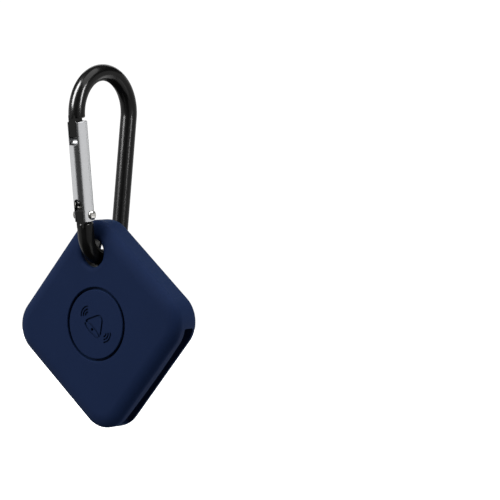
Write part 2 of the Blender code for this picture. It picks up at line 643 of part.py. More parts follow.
def make_battery_door(tag):
    low_y = CELL_BACK_Y + FIT_GAP
    plate_y = SHELL_BACK_Y - DOOR_PLATE
    door = turned("battery_door", tag, black_plastic(),
                  [(0.0, SHELL_BACK_Y), (DOOR_RADIUS - 0.15 * MM, SHELL_BACK_Y),
                   (DOOR_RADIUS, SHELL_BACK_Y - 0.15 * MM), (DOOR_RADIUS, plate_y),
                   (DOOR_HUB_RADIUS, plate_y), (DOOR_HUB_RADIUS, low_y), (0.0, low_y)], CELL_PLACE)
    for number in range(DOOR_TABS):
        join(door, door_tab(f"door_tab_{number}", tag, None, number, 0.0, 0.0,
                            low_y + DOOR_TAB_THICKNESS))
    coin_slot = block("door_coin_slot", tag, None,
                      (CELL_PLACE[0] - 5.5 * MM, SHELL_BACK_Y - 0.4 * MM, CELL_PLACE[1] - 0.8 * MM),
                      (CELL_PLACE[0] + 5.5 * MM, BACK_Y, CELL_PLACE[1] + 0.8 * MM))
    cut(door, coin_slot)
    ring_y = plate_y - FIT_GAP / 2
    turned("door_seal_ring", tag, dark_rubber(),
           [(DOOR_RADIUS - 0.1 * MM, ring_y), (DOOR_RADIUS - 0.1 * MM, ring_y - GASKET_THICKNESS),
            (DOOR_HUB_RADIUS + 0.1 * MM, ring_y - GASKET_THICKNESS), (DOOR_HUB_RADIUS + 0.1 * MM, ring_y)],
           CELL_PLACE, closed=True)


def make_button(tag):
    """The tracker's button and the tact switch that it presses."""
    flange_y = FRONT_INNER_Y + 2 * FIT_GAP
    flange_back = flange_y + BUTTON_FLANGE_THICKNESS
    face_back = SHELL_FRONT_Y + BUTTON_FACE
    wall = BUTTON_RADIUS - 0.9 * MM
    plunger_front = FRONT_INNER_Y + FIT_GAP
    turned("button_cap", tag, black_plastic(),
           [(0.0, plunger_front - FIT_GAP), (1.0 * MM, plunger_front - FIT_GAP), (1.0 * MM, face_back),
            (wall, face_back), (wall, flange_back), (BUTTON_RADIUS + BUTTON_FLANGE, flange_back),
            (BUTTON_RADIUS + BUTTON_FLANGE, flange_y), (BUTTON_RADIUS, flange_y),
            (BUTTON_RADIUS, SHELL_FRONT_Y), (0.0, SHELL_FRONT_Y)])
    case_back = BOARD_FRONT_Y - FIT_GAP
    case_front = case_back - 0.65 * MM
    plunger_back = case_front + 0.2 * MM
    case = block("tact_switch_case", tag, steel(), (-2.25 * MM, case_front, -2.25 * MM),
                 (2.25 * MM, case_back, 2.25 * MM))
    well = disc("switch_well", tag, None, 1.3 * MM, case_front - MM,
                plunger_back + PRESS_TRAVEL + FIT_GAP, sides=20)
    cut(case, well)
    disc("tact_switch_plunger", tag, black_plastic(), 1.2 * MM, plunger_front, plunger_back, sides=20)


def make_board(tag):
    """The circuit board, its chips, antenna, capacitors and screws."""
    half = SHELL_INNER_HALF - BOARD_CLEARANCE
    board = slab("circuit_board", tag, laminate(), half, SHELL_INNER_CORNER - 0.5 * MM, BOARD_FRONT_Y,
                 BOARD_BACK_Y)
    cut(board, disc("board_hole_relief", tag, None, HOLE_BOSS_RADIUS + 0.4 * MM, BOARD_FRONT_Y - MM,
                    BOARD_BACK_Y + MM, HOLE_PLACE))
    for number, centre in enumerate(SCREW_PLACES):
        cut(board, disc(f"board_screw_hole_{number}", tag, None, SCREW_RADIUS + 0.15 * MM,
                        BOARD_FRONT_Y - MM, BOARD_BACK_Y + MM, centre, sides=12))
        head_y = BOARD_BACK_Y + FIT_GAP
        tip_y = SHELL_FRONT_Y + 0.6 * MM
        screw = turned(f"board_screw_{number + 1}", tag, steel(),
                       [(0.0, head_y + 0.45 * MM), (SCREW_HEAD_RADIUS - 0.2 * MM, head_y + 0.45 * MM),
                        (SCREW_HEAD_RADIUS, head_y + 0.25 * MM), (SCREW_HEAD_RADIUS, head_y),
                        (SCREW_RADIUS, head_y), (SCREW_RADIUS, tip_y + 0.3 * MM), (0.0, tip_y)],
                       centre, steps=16)
        x, z = centre
        cut(screw, block(f"screw_recess_{number}", tag, None, (x - 0.12 * MM, head_y + 0.2 * MM, z - 2 * MM),
                         (x + 0.12 * MM, head_y + MM, z + 2 * MM)))
    base = BOARD_BACK_Y + 0.03 * MM
    by_hole = (HOLE_PLACE[0] + 0.7 * MM, HOLE_PLACE[1] - HOLE_BOSS_RADIUS - 2.3 * MM)
    parts = (("radio_chip", chip_resin(), on_board(-0.3075, -0.2375), (5.0, 0.8, 5.0)),
             ("radio_crystal", steel(), on_board(-0.3275, -0.1), (2.0, 0.6, 1.6)),
             ("chip_antenna", ceramic(), on_board(0.125, 0.3325), (7.0, 1.0, 2.0)),
             ("sounder_driver_chip", chip_resin(), on_board(-0.0875, 0.315), (2.0, 0.7, 2.0)),
             ("supply_capacitor", ceramic(), by_hole, (1.6, 0.8, 0.8)),
             ("tuning_inductor", ceramic(), on_board(0.0, 0.3325), (1.0, 0.5, 0.6)))
    for name, material, (x, z), (width, height, depth) in parts:
        low = (x - width * MM / 2, base, z - depth * MM / 2)
        high = (x + width * MM / 2, base + height * MM, z + depth * MM / 2)
        block(name, tag, material, low, high, edge=0.08 * MM)


def on_board(across, up):
    """A place on the board, given in sleeve sides from its centre."""
    return (across * SLEEVE_SIDE, up * SLEEVE_SIDE)


def make_sounder(tag):
    """The piezo sounder: a foam ring, the brass plate and the ceramic on it."""
    centre = (-SOUNDER_OFFSET, -SOUNDER_OFFSET)
    foam_y = FRONT_INNER_Y + FIT_GAP
    plate_y = foam_y + 0.3 * MM + FIT_GAP
    ceramic_y = plate_y + 0.12 * MM + 0.02 * MM
    turned("sounder_foam_ring", tag, foam(),
           [(SOUNDER_RADIUS, foam_y + 0.3 * MM), (SOUNDER_RADIUS, foam_y),
            (SOUNDER_RADIUS - 1.2 * MM, foam_y), (SOUNDER_RADIUS - 1.2 * MM, foam_y + 0.3 * MM)],
           centre, steps=32, closed=True)
    disc("sounder_plate", tag, brass(), SOUNDER_RADIUS, plate_y, plate_y + 0.12 * MM, centre)
    disc("sounder_ceramic", tag, ceramic(), SOUNDER_RADIUS - 1.6 * MM, ceramic_y, ceramic_y + 0.15 * MM,
         centre)


def make_cell(tag):
    """The coin cell, its contacts and the ring that holds it on the board."""
    front, back = CELL_FRONT_Y, CELL_BACK_Y
    rim_y = front + 0.25 * MM
    turned("coin_cell_can", tag, steel(),
           [(0.0, back), (CELL_RADIUS - 0.2 * MM, back), (CELL_RADIUS, back - 0.2 * MM),
            (CELL_RADIUS, rim_y), (CELL_RADIUS - CAN_WALL, rim_y),
            (CELL_RADIUS - CAN_WALL, back - CAN_WALL), (0.0, back - CAN_WALL)], CELL_PLACE)
    inner = CELL_RADIUS - CAN_WALL - 0.04 * MM
    gasket_inner = inner - 0.4 * MM
    turned("coin_cell_gasket", tag, dark_rubber(),
           [(inner, back - CAN_WALL - 0.06 * MM), (inner, rim_y), (gasket_inner, rim_y),
            (gasket_inner, back - CAN_WALL - 0.06 * MM)], CELL_PLACE, closed=True)
    cap_radius = gasket_inner - 0.05 * MM
    disc("coin_cell_cap", tag, steel(), cap_radius, front, front + CAN_WALL, CELL_PLACE, 40)
    disc("coin_cell_core", tag, chip_resin(), cap_radius, front + CAN_WALL + 0.06 * MM,
         back - CAN_WALL - 0.06 * MM, CELL_PLACE, 40)
    x, z = CELL_PLACE
    base = BOARD_BACK_Y + 0.02 * MM
    block("battery_negative_contact", tag, brass(), (x - 4 * MM, base, z - 1.5 * MM),
          (x + 4 * MM, base + 0.1 * MM, z + 1.5 * MM))
    holder = turned("battery_holder_ring", tag, black_plastic(),
                    [(CELL_RADIUS + 1.0 * MM, back - 0.1 * MM), (CELL_RADIUS + 1.0 * MM, base),
                     (CELL_RADIUS + 0.15 * MM, base), (CELL_RADIUS + 0.15 * MM, back - 0.1 * MM)],
                    CELL_PLACE, closed=True)
    edge = x + CELL_RADIUS
    cut(holder, block("contact_gap", tag, None, (edge - MM, base - MM, z - 2.3 * MM),
                      (edge + 3 * MM, back + MM, z + 2.3 * MM)))
    contact = block("battery_positive_contact", tag, brass(), (edge + 0.08 * MM, base, z - 2 * MM),
                    (edge + 0.3 * MM, back - 0.1 * MM, z + 2 * MM))
    join(contact, block("contact_foot", tag, None, (edge + 0.2 * MM, base, z - 1.2 * MM),
                        (edge + 1.9 * MM, base + 0.2 * MM, z + 1.2 * MM)))


def main():
    start_scene()
    leg = empty("gate_hinge_axis", location=leg_point(RIVET_UP_LEG), rotation=(LEG_TILT, 0.0, 0.0))
    make_clip_frame(leg)
    make_gate(leg)
    swing = empty("tag_swing_axis", location=(TAG_ASIDE, 0.0, HOLE_Z),
                  rotation=(0.0, DIAMOND_TURN + TAG_LEAN, 0.0))
    tag = empty("tag_centre", parent=swing, location=(HOLE_INSET, 0.0, -HOLE_INSET))
    make_sleeve(tag)
    make_shells(tag)
    make_button(tag)
    make_board(tag)
    make_sounder(tag)
    make_cell(tag)
    make_battery_door(tag)


main()
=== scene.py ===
"""The looks of a wireless tracker tag in a silicone sleeve, hung on a small gated carabiner.

Laid out as a Blender add-on and run as a script. Metres, +Z up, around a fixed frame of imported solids.
"""

import json
import math

import bmesh
import bpy
from bpy.props import FloatProperty, FloatVectorProperty, IntProperty, PointerProperty
from mathutils import Matrix, Vector


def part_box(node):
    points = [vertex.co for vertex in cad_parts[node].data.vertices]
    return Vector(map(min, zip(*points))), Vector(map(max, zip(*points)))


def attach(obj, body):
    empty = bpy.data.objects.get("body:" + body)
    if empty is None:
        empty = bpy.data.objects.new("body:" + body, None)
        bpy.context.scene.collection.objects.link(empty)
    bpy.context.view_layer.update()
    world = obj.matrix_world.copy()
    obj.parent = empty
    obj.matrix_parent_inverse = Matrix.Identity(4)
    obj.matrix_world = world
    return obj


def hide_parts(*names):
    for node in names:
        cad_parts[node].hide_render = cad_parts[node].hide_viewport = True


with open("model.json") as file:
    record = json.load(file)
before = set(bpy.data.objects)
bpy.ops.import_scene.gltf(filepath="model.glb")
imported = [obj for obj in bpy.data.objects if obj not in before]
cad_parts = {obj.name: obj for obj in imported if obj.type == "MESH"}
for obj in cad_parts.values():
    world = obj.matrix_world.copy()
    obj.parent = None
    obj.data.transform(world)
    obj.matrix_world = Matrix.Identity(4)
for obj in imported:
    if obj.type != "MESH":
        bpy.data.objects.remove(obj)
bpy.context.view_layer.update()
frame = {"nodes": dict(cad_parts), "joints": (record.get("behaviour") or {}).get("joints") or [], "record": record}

bl_info = {
    "name": "Tracker Tag Maker",
    "version": (1, 0, 0),
    "blender": (4, 5, 0),
    "location": "3D View > Sidebar > Tracker Tag",
    "description": "Builds the fine surfaces and finishes of a tracker tag and its carabiner",
    "category": "Object",
}

MM = 0.001
JOINTS = {joint["name"]: joint for joint in frame["joints"]}

# Where the frame says things are.
SWING_AXIS = Vector(JOINTS["tag_swing"]["pos_m"])
RIVET_AXIS = Vector(JOINTS["gate_open"]["pos_m"])
PAD_LOW, PAD_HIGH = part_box("sleeve_press_pad")
SLEEVE_LOW, SLEEVE_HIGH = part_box("silicone_sleeve")
CLIP_LOW, CLIP_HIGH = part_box("clip_frame")
TAG_CENTRE = Vector(((PAD_LOW.x + PAD_HIGH.x) / 2, 0.0, (PAD_LOW.z + PAD_HIGH.z) / 2))
HANG = TAG_CENTRE - SWING_AXIS
TAG_TURN = math.radians(45.0) - math.atan2(HANG.x, -HANG.z)
TAG_PLACE = Matrix.Translation(TAG_CENTRE) @ Matrix.Rotation(TAG_TURN, 4, "Y")
HOLE_INSET = HANG.length / math.sqrt(2.0)
FRONT_Y, BACK_Y = SLEEVE_LOW.y, SLEEVE_HIGH.y
FACE_ALONG_Y = Matrix.Rotation(math.radians(-90.0), 4, "X")

PAD_RADIUS = PAD_HIGH.x - TAG_CENTRE.x

# Sizes that several pieces share: rims and play, how far a cutter runs past what it cuts, and tolerances.
SOFT_RIM = 0.22 * MM
RIVET_PLAY = 0.05 * MM
PAD_PLAY = 0.05 * MM
OVERSHOOT = 1.0 * MM
WELD = 0.0005 * MM
FLAT = 0.001 * MM

# How many flats stand in for each kind of round.
ROD_SIDES = 48
TUBE_SIDES = 72
PIN_SIDES = 40
PAD_STEPS = 128


def linear(code):
    """An sRGB hex code as linear red, green and blue."""
    channels = [int(code[i:i + 2], 16) / 255 for i in (1, 3, 5)]
    return tuple(c / 12.92 if c <= 0.04045 else ((c + 0.055) / 1.055) ** 2.4 for c in channels)


def length(label, text, default):
    """A length in metres that a user may change."""
    return FloatProperty(name=label, description=text, default=default, min=0.0, unit="LENGTH", precision=5)


def colour(label, text, code):
    """A colour that a user may change, given by its sRGB hex code."""
    return FloatVectorProperty(name=label, description=text, default=linear(code), subtype="COLOR",
                               size=3, min=0.0, max=1.0)


class ClipSizes(bpy.types.PropertyGroup):
    rod_radius: length("Rod radius", "Radius of the bent rod", (CLIP_HIGH.x - CLIP_LOW.x) / 2)
    top_bend: length("Top bend", "Centreline radius of the wide upper bend",
                     (CLIP_HIGH.y - CLIP_LOW.y) / 2 - (CLIP_HIGH.x - CLIP_LOW.x) / 2)
    bottom_bend: length("Bottom bend", "Centreline radius of the narrow lower bend", 6.3 * MM)
    tongue_width: length("Tongue width", "Width of the heel and nose tongues", 2.1 * MM)
    nose_length: length("Nose tongue", "Length of the nose tongue", 4.75 * MM)
    nose_depth: length("Nose depth", "How deep the nose tongue is, from its outer face", 2.6 * MM)
    heel_shoulder: length("Heel shoulder", "Depth of the heel shoulder under the rivet", 1.95 * MM)
    tongue_face: length("Tongue face", "Distance of the tongues' outer faces from the rod's axis", 1.9 * MM)
    tongue_reach: length("Heel reach", "Radius of the heel tongue's rounded end", 1.57 * MM)
    heel_corner: length("Heel corner", "Cut across the heel tongue's outer corner", 0.5 * MM)
    nose_blunting: length("Nose blunting", "Cut across the outer corner of the nose's tip", 0.4 * MM)
    nose_relief: length("Nose relief", "Cut across the inner corner of the nose's tip", 0.9 * MM)
    end_rounding: length("End rounding", "Rounding of the rod's two ends", 0.3 * MM)
    cut_rounding: length("Cut rounding", "Rounding of the edges that cutting leaves", 0.12 * MM)
    anodising: colour("Anodising", "Colour of the dyed coat on the rod", "#030303")


class GateSizes(bpy.types.PropertyGroup):
    radius: length("Tube radius", "Outer radius of the gate tube", 2.37 * MM)
    bore: length("Bore radius", "Radius of the bore for the spring", 1.77 * MM)
    top: length("Top", "Height of the tube's top over the rivet", 22.59 * MM)
    below: length("Below", "How far the tube goes below the rivet", 1.5 * MM)
    slot_half: length("Half slot", "Half the width of both slots", 1.25 * MM)
    heel_slot_top: length("Heel slot", "Height of the heel slot's end over the rivet", 4.1 * MM)
    notch_floor: length("Notch floor", "Height of the nose notch's floor over the rivet", 18.29 * MM)
    notch_depth: length("Notch depth", "How far the notch goes past the tube's axis", 0.85 * MM)
    bore_top: length("Bore top", "Height of the bore's end over the rivet", 9.79 * MM)
    heel_rounding: length("Heel rounding", "Radius on the inner side of the tube's lower end", 1.45 * MM)
    rivet_radius: length("Rivet radius", "Radius of the rivet's shank", 0.65 * MM)
    head_radius: length("Head radius", "Radius of the rivet's domed heads", 1.15 * MM)
    head_height: length("Head height", "Height of the rivet's domed heads", 0.75 * MM)
    end_rounding: length("End rounding", "Rounding of the tube's two ends", 0.12 * MM)
    cut_rounding: length("Cut rounding", "Rounding of the edges that cutting leaves", 0.07 * MM)
    scoop_radius: length("Scoop radius", "Radius of the scoop in the notch's floor", 1.1 * MM)
    scoop_out: length("Scoop place", "How far the scoop's centre is from the tube's axis", 2.3 * MM)
    scoop_drop: length("Scoop drop", "How far the scoop's centre is below the notch's floor", 0.1 * MM)
    foot_slot: length("Foot slot", "Height of the slot's end over the rivet, on the inner side", 0.4 * MM)
    metal: colour("Metal", "Colour of the bare aluminium", "#DADBDD")


class SleeveSizes(bpy.types.PropertyGroup):
    side: length("Side", "Side of the rounded square", 40.0 * MM)
    corner: length("Corner", "Radius of its corners", 7.5 * MM)
    front_depth: length("Front rounding depth", "How deep the soft front edge goes", 2.1 * MM)
    front_width: length("Front rounding width", "How far the soft front edge comes over the face", 3.6 * MM)
    back_fillet: length("Back rounding", "Rounding of the back edge", 1.6 * MM)
    front_wall: length("Front wall", "Thickness of the front wall", 1.4 * MM)
    back_wall: length("Back wall", "Thickness of the back wall", 0.8 * MM)
    side_wall: length("Side wall", "Thickness of the side walls", 2.2 * MM)
    hole_radius: length("Hole radius", "Radius of the corner hole", 3.5 * MM)
    front_rim: length("Front rim", "Width of the soft flare at the hole's front", 1.3 * MM)
    rim_depth: length("Front rim depth", "Depth of the soft flare at the hole's front", 0.7 * MM)
    back_rim: length("Back rim", "Rounding of the hole's back rim", 0.45 * MM)
    slot_front_lip: length("Slot front lip", "Lip in front of the slot, at its middle", 2.4 * MM)
    slot_back_lip: length("Slot back lip", "Lip that the slot leaves behind the pocket", 1.0 * MM)
    slot_bow: length("Slot bow", "How far the front lip gives way at the slot's ends", 0.8 * MM)
    slot_rounding: length("Slot rounding", "Rounding of the slot's ends", 0.45 * MM)
    slot_low: length("Slot low end", "Distance of the slot's low end from the middle", 14.8 * MM)
    slot_high: length("Slot high end", "Distance of the slot's high end from the middle", 16.2 * MM)
    pocket_front_edge: length("Pocket front edge", "Rounding inside the pocket's front", 0.4 * MM)
    pocket_back_edge: length("Pocket back edge", "Rounding inside the pocket's back", 0.3 * MM)
    groove: length("Groove", "Width of the ring groove round the press pad", 0.6 * MM)
    pad_rim: length("Pad rim", "Thickness of the press pad's rim", 0.65 * MM)
    pad_lip: length("Pad lip", "Width of the ledge under the press pad's rim", 1.2 * MM)
    pad_core: length("Pad core", "Radius of the thick middle of the press pad", 5.6 * MM)
    pad_travel: length("Pad travel", "How far the pad goes in", JOINTS["pad_press"]["range_m"][1])
    line_radius: length("Line radius", "Radius of the cut that engraves the sign", 0.26 * MM)
    silicone: colour("Silicone", "Colour of the silicone", "#172544")
    smoothness: IntProperty(name="Smoothness", description="Steps in each rounding", default=8, min=3, max=16)


def add_node(tree, kind, settings=None, inputs=None, links=None):
    """Adds a shader node, sets its properties and sockets, and links outputs of other nodes to it."""
    made = tree.nodes.new(kind)
    for name, value in (settings or {}).items():
        setattr(made, name, value)
    for name, value in (inputs or {}).items():
        made.inputs[name].default_value = value
    for name, output in (links or {}).items():
        tree.links.new(output, made.inputs[name])
    return made


def new_material(name, base, **sockets):
    """A material with a Principled shader, its plain values set on the sockets themselves."""
    made = bpy.data.materials.get(name) or bpy.data.materials.new(name)
    made.use_nodes = True
    tree = made.node_tree
    tree.nodes.clear()
    shader = add_node(tree, "ShaderNodeBsdfPrincipled", inputs={"Base Color": (*base, 1.0), **sockets})
    add_node(tree, "ShaderNodeOutputMaterial", links={"Surface": shader.outputs["BSDF"]})
    coords = add_node(tree, "ShaderNodeTexCoord")
    return made, tree, shader, coords.outputs["Object"]


def grain(tree, coords, size, detail=2.0):
    """Noise whose grains are about this size in metres."""
    noise = add_node(tree, "ShaderNodeTexNoise", inputs={"Scale": 1.0 / size, "Detail": detail},
                     links={"Vector": coords})
    return noise.outputs["Fac"]


def drawn_along_z(tree, coords, share):
    """Coordinates squeezed along Z, so that a grain turns into fine lines that run that way."""
    made = add_node(tree, "ShaderNodeMapping", inputs={"Scale": (1.0, 1.0, share)}, links={"Vector": coords})
    return made.outputs["Vector"]


def bump(tree, shader, height, depth):
    """Lets a height between 0 and 1 raise the surface by up to this depth in metres."""
    made = add_node(tree, "ShaderNodeBump", inputs={"Strength": 1.0, "Distance": depth},
                    links={"Height": height})
    tree.links.new(made.outputs["Normal"], shader.inputs["Normal"])


def vary(tree, shader, socket, factor, low, high):
    """Lets a factor drive one number on the shader between two values."""
    spread = add_node(tree, "ShaderNodeMapRange", inputs={"To Min": low, "To Max": high},
                      links={"Value": factor})
    tree.links.new(spread.outputs["Result"], shader.inputs[socket])


def tint(tree, shader, factor, dark, light):
    """Lets a factor move the base colour between two shades."""
    mix = add_node(tree, "ShaderNodeMix", {"data_type": "RGBA"}, links={"Factor": factor})
    mix.inputs["A"].default_value = (*dark, 1.0)
    mix.inputs["B"].default_value = (*light, 1.0)
    tree.links.new(mix.outputs["Result"], shader.inputs["Base Color"])


def scaled(base, factor):
    """A colour made lighter or darker."""
    return tuple(min(1.0, c * factor) for c in base)


def navy_silicone():
    """Moulded silicone rubber: matte from a blasted mould, with a soft lift at grazing angles."""
    base = bpy.context.scene.tag_sleeve.silicone
    made, tree, shader, coords = new_material("navy_moulded_silicone", base, Roughness=0.62, IOR=1.41)
    shader.inputs["Specular IOR Level"].default_value = 0.06
    shader.inputs["Sheen Weight"].default_value = 0.10
    shader.inputs["Sheen Roughness"].default_value = 0.3
    shader.inputs["Sheen Tint"].default_value = (*linear("#4FA6D8"), 1.0)
    cloud = grain(tree, coords, 9 * MM, 3.0)
    tint(tree, shader, cloud, scaled(base, 0.93), scaled(base, 1.07))
    vary(tree, shader, "Roughness", grain(tree, coords, 1.4 * MM, 4.0), 0.57, 0.68)
    bump(tree, shader, grain(tree, coords, 0.12 * MM, 1.0), 0.012 * MM)
    return made


def black_anodised():
    """Polished and black-dyed anodised aluminium: a deep black coat with clear, sharp-edged highlights."""
    base = bpy.context.scene.tag_clip.anodising
    made, tree, shader, coords = new_material("black_anodised_aluminium", base, Roughness=0.2, IOR=1.65)
    shader.inputs["Specular IOR Level"].default_value = 0.10
    vary(tree, shader, "Roughness", grain(tree, coords, 2.2 * MM, 3.0), 0.18, 0.23)
    bump(tree, shader, grain(tree, coords, 0.5 * MM, 1.0), 0.0003 * MM)
    return made


def bare_aluminium():
    """Drawn aluminium tube, brushed: fine lines run along it and spread its highlights sideways."""
    base = bpy.context.scene.tag_gate.metal
    made, tree, shader, coords = new_material("drawn_bare_aluminium", base, Metallic=1.0, Roughness=0.24)
    lines = drawn_along_z(tree, coords, 0.02)
    streaks = grain(tree, lines, 0.09 * MM)
    vary(tree, shader, "Roughness", streaks, 0.20, 0.30)
    tint(tree, shader, grain(tree, coords, 1.2 * MM, 4.0), scaled(base, 0.93), base)
    bump(tree, shader, streaks, 0.0015 * MM)
    return made


def plated_steel():
    """Nickel-plated steel, tumbled before plating: bright, with faint soft dents."""
    base = linear("#C9C7C2")
    made, tree, shader, coords = new_material("nickel_plated_steel", base, Metallic=1.0, Roughness=0.2)
    vary(tree, shader, "Roughness", grain(tree, coords, 0.4 * MM, 4.0), 0.14, 0.3)
    bump(tree, shader, grain(tree, coords, 0.25 * MM), 0.004 * MM)
    return made


def black_abs():
    """Injection-moulded ABS from a spark-eroded mould: dull black with a fine pebbled grain."""
    base = linear("#131315")
    made, tree, shader, coords = new_material("black_moulded_abs", base, Roughness=0.5, IOR=1.53)
    pebbles = grain(tree, coords, 0.16 * MM, 1.0)
    vary(tree, shader, "Roughness", pebbles, 0.42, 0.6)
    tint(tree, shader, grain(tree, coords, 6 * MM), scaled(base, 0.85), scaled(base, 1.15))
    bump(tree, shader, pebbles, 0.02 * MM)
    return made


def black_rubber():
    """Moulded nitrile rubber for the seals: black, dull, slightly uneven."""
    base = linear("#1A1A1A")
    made, tree, shader, coords = new_material("black_nitrile_rubber", base, Roughness=0.7, IOR=1.52)
    tint(tree, shader, grain(tree, coords, 1.5 * MM), scaled(base, 0.8), scaled(base, 1.2))
    bump(tree, shader, grain(tree, coords, 0.1 * MM), 0.01 * MM)
    return made


def board_laminate():
    """Glass-epoxy board under green solder mask: glossy, with copper tracks showing as paler lines."""
    base = linear("#0F4A2B")
    made, tree, shader, coords = new_material("green_masked_laminate", base, Roughness=0.32, IOR=1.5)
    cells = add_node(tree, "ShaderNodeTexBrick", {"offset": 0.5},
                     {"Scale": 1.0 / (2.4 * MM), "Mortar Size": 0.05, "Brick Width": 1.6, "Row Height": 0.5},
                     {"Vector": coords})
    tint(tree, shader, cells.outputs["Fac"], base, linear("#2C7A4C"))
    bump(tree, shader, cells.outputs["Fac"], 0.03 * MM)
    return made


def fired_ceramic():
    """Fired barium titanate and alumina: off-white, fine grained, slightly rough."""
    base = linear("#DCD6C6")
    made, tree, shader, coords = new_material("fired_ceramic", base, Roughness=0.45, IOR=1.7)
    tint(tree, shader, grain(tree, coords, 0.5 * MM), scaled(base, 0.9), base)
    bump(tree, shader, grain(tree, coords, 0.08 * MM), 0.005 * MM)
    return made


def rolled_brass():
    """Rolled brass sheet: yellow metal with fine rolling lines."""
    base = linear("#D9B868")
    made, tree, shader, coords = new_material("rolled_brass", base, Metallic=1.0, Roughness=0.28)
    lines = drawn_along_z(tree, coords, 0.05)
    vary(tree, shader, "Roughness", grain(tree, lines, 0.1 * MM), 0.2, 0.38)
    tint(tree, shader, grain(tree, coords, 2 * MM), scaled(base, 0.88), base)
    return made


def chip_resin():
    """Filled epoxy moulding compound: dark grey, dull, speckled with filler."""
    base = linear("#1D1D1F")
    made, tree, shader, coords = new_material("moulded_chip_resin", base, Roughness=0.55, IOR=1.55)
    tint(tree, shader, grain(tree, coords, 0.12 * MM), scaled(base, 0.75), scaled(base, 1.4))
    bump(tree, shader, grain(tree, coords, 0.06 * MM), 0.006 * MM)
    return made


def grey_foam():
    """Closed-cell polyethylene foam: grey, pitted, without shine."""
    base = linear("#565759")
    made, tree, shader, coords = new_material("grey_closed_cell_foam", base, Roughness=0.92, IOR=1.45)
    pits = add_node(tree, "ShaderNodeTexVoronoi", inputs={"Scale": 1.0 / (0.25 * MM)},
                    links={"Vector": coords})
    tint(tree, shader, pits.outputs["Distance"], scaled(base, 0.6), scaled(base, 1.1))
    bump(tree, shader, pits.outputs["Distance"], 0.05 * MM)
    return made


# Shaping tools.


def ring_edges(bm, axis, height):
    """Edges that lie flat at one height on an axis."""
    return [e for e in bm.edges if all(abs(v.co[axis] - height) < FLAT for v in e.verts)]


def round_over(bm, edges, radius, segments):
    """Rounds some edges of a form."""
    bmesh.ops.bevel(bm, geom=edges, offset=radius, offset_type="OFFSET", segments=segments, profile=0.5,
                    affect="EDGES", material=-1)


def box_form(low, high):
    """A box between two corners."""
    bm = bmesh.new()
    low, high = Vector(low), Vector(high)
    bmesh.ops.create_cube(bm, size=1.0)
    bmesh.ops.scale(bm, vec=high - low, verts=bm.verts)
    bmesh.ops.translate(bm, vec=(low + high) / 2, verts=bm.verts)
    return bm


def slab_form(half, corner, low_y, high_y, corner_steps, edge_steps, front=0.0, back=0.0):
    """A rounded square plate facing Y, with its front and back outlines rounded over."""
    bm = box_form((-half, low_y, -half), (half, high_y, half))
    upright = [e for e in bm.edges if abs(e.verts[0].co.y - e.verts[1].co.y) > 0.1 * (high_y - low_y)]
    round_over(bm, upright, corner, corner_steps)
    if front:
        round_over(bm, ring_edges(bm, 1, low_y), front, edge_steps)
    if back:
        round_over(bm, ring_edges(bm, 1, high_y), back, edge_steps)
    return bm


def crown_front(bm, low_y, depth, width, steps):
    """Draws the front face forward to low_y in a soft elliptical edge of this depth and width."""
    face = min(bm.faces, key=lambda f: f.calc_center_median().y)
    come_in = 0.0
    for step in range(1, steps + 1):
        angle = math.radians(90.0) * step / steps
        reach = width * (1 - math.cos(angle))
        bmesh.ops.inset_region(bm, faces=[face], thickness=reach - come_in, depth=0.0,
                               use_even_offset=True, use_boundary=True)
        come_in = reach
        for vert in face.verts:
            vert.co.y = low_y + depth * (1 - math.sin(angle))


def turned_form(profile, steps):
    """A shape turned about Y from (radius, y) points."""
    bm = bmesh.new()
    points = [bm.verts.new((radius, y, 0.0)) for radius, y in profile]
    edges = [bm.edges.new(pair) for pair in zip(points, points[1:])]
    bmesh.ops.spin(bm, geom=points + edges, cent=(0, 0, 0), axis=(0, 1, 0), dvec=(0, 0, 0),
                   angle=math.tau, steps=steps, use_merge=True)
    bmesh.ops.remove_doubles(bm, verts=bm.verts, dist=WELD)
    bmesh.ops.recalc_face_normals(bm, faces=bm.faces)
    return bm


def quarter(centre_r, centre_y, radius, start, end, steps):
    """(radius, y) points of an arc, angles in degrees from the radial direction towards +Y."""
    points = []
    for step in range(steps + 1):
        angle = math.radians(start + (end - start) * step / steps)
        points.append((centre_r + radius * math.cos(angle), centre_y + radius * math.sin(angle)))
    return points


def plate_form(outline, half_width):
    """A plate with a (y, z) outline and its thickness along X."""
    bm = bmesh.new()
    face = bm.faces.new([bm.verts.new((-half_width, y, z)) for y, z in outline])
    grown = bmesh.ops.extrude_face_region(bm, geom=[face])
    moved = [item for item in grown["geom"] if isinstance(item, bmesh.types.BMVert)]
    bmesh.ops.translate(bm, vec=(2 * half_width, 0.0, 0.0), verts=moved)
    bmesh.ops.recalc_face_normals(bm, faces=bm.faces)
    return bm


def cylinder_form(radius, low, high, sides, axis="Z"):
    """A capped cylinder along X, Y or Z."""
    turns = {"X": Matrix.Rotation(math.radians(90.0), 4, "Y"), "Y": FACE_ALONG_Y, "Z": Matrix.Identity(4)}
    bm = bmesh.new()
    bmesh.ops.create_cone(bm, cap_ends=True, segments=sides, radius1=radius, radius2=radius,
                          depth=high - low)
    bmesh.ops.translate(bm, vec=(0, 0, (low + high) / 2), verts=bm.verts)
    bmesh.ops.transform(bm, matrix=turns[axis], verts=bm.verts)
    return bm


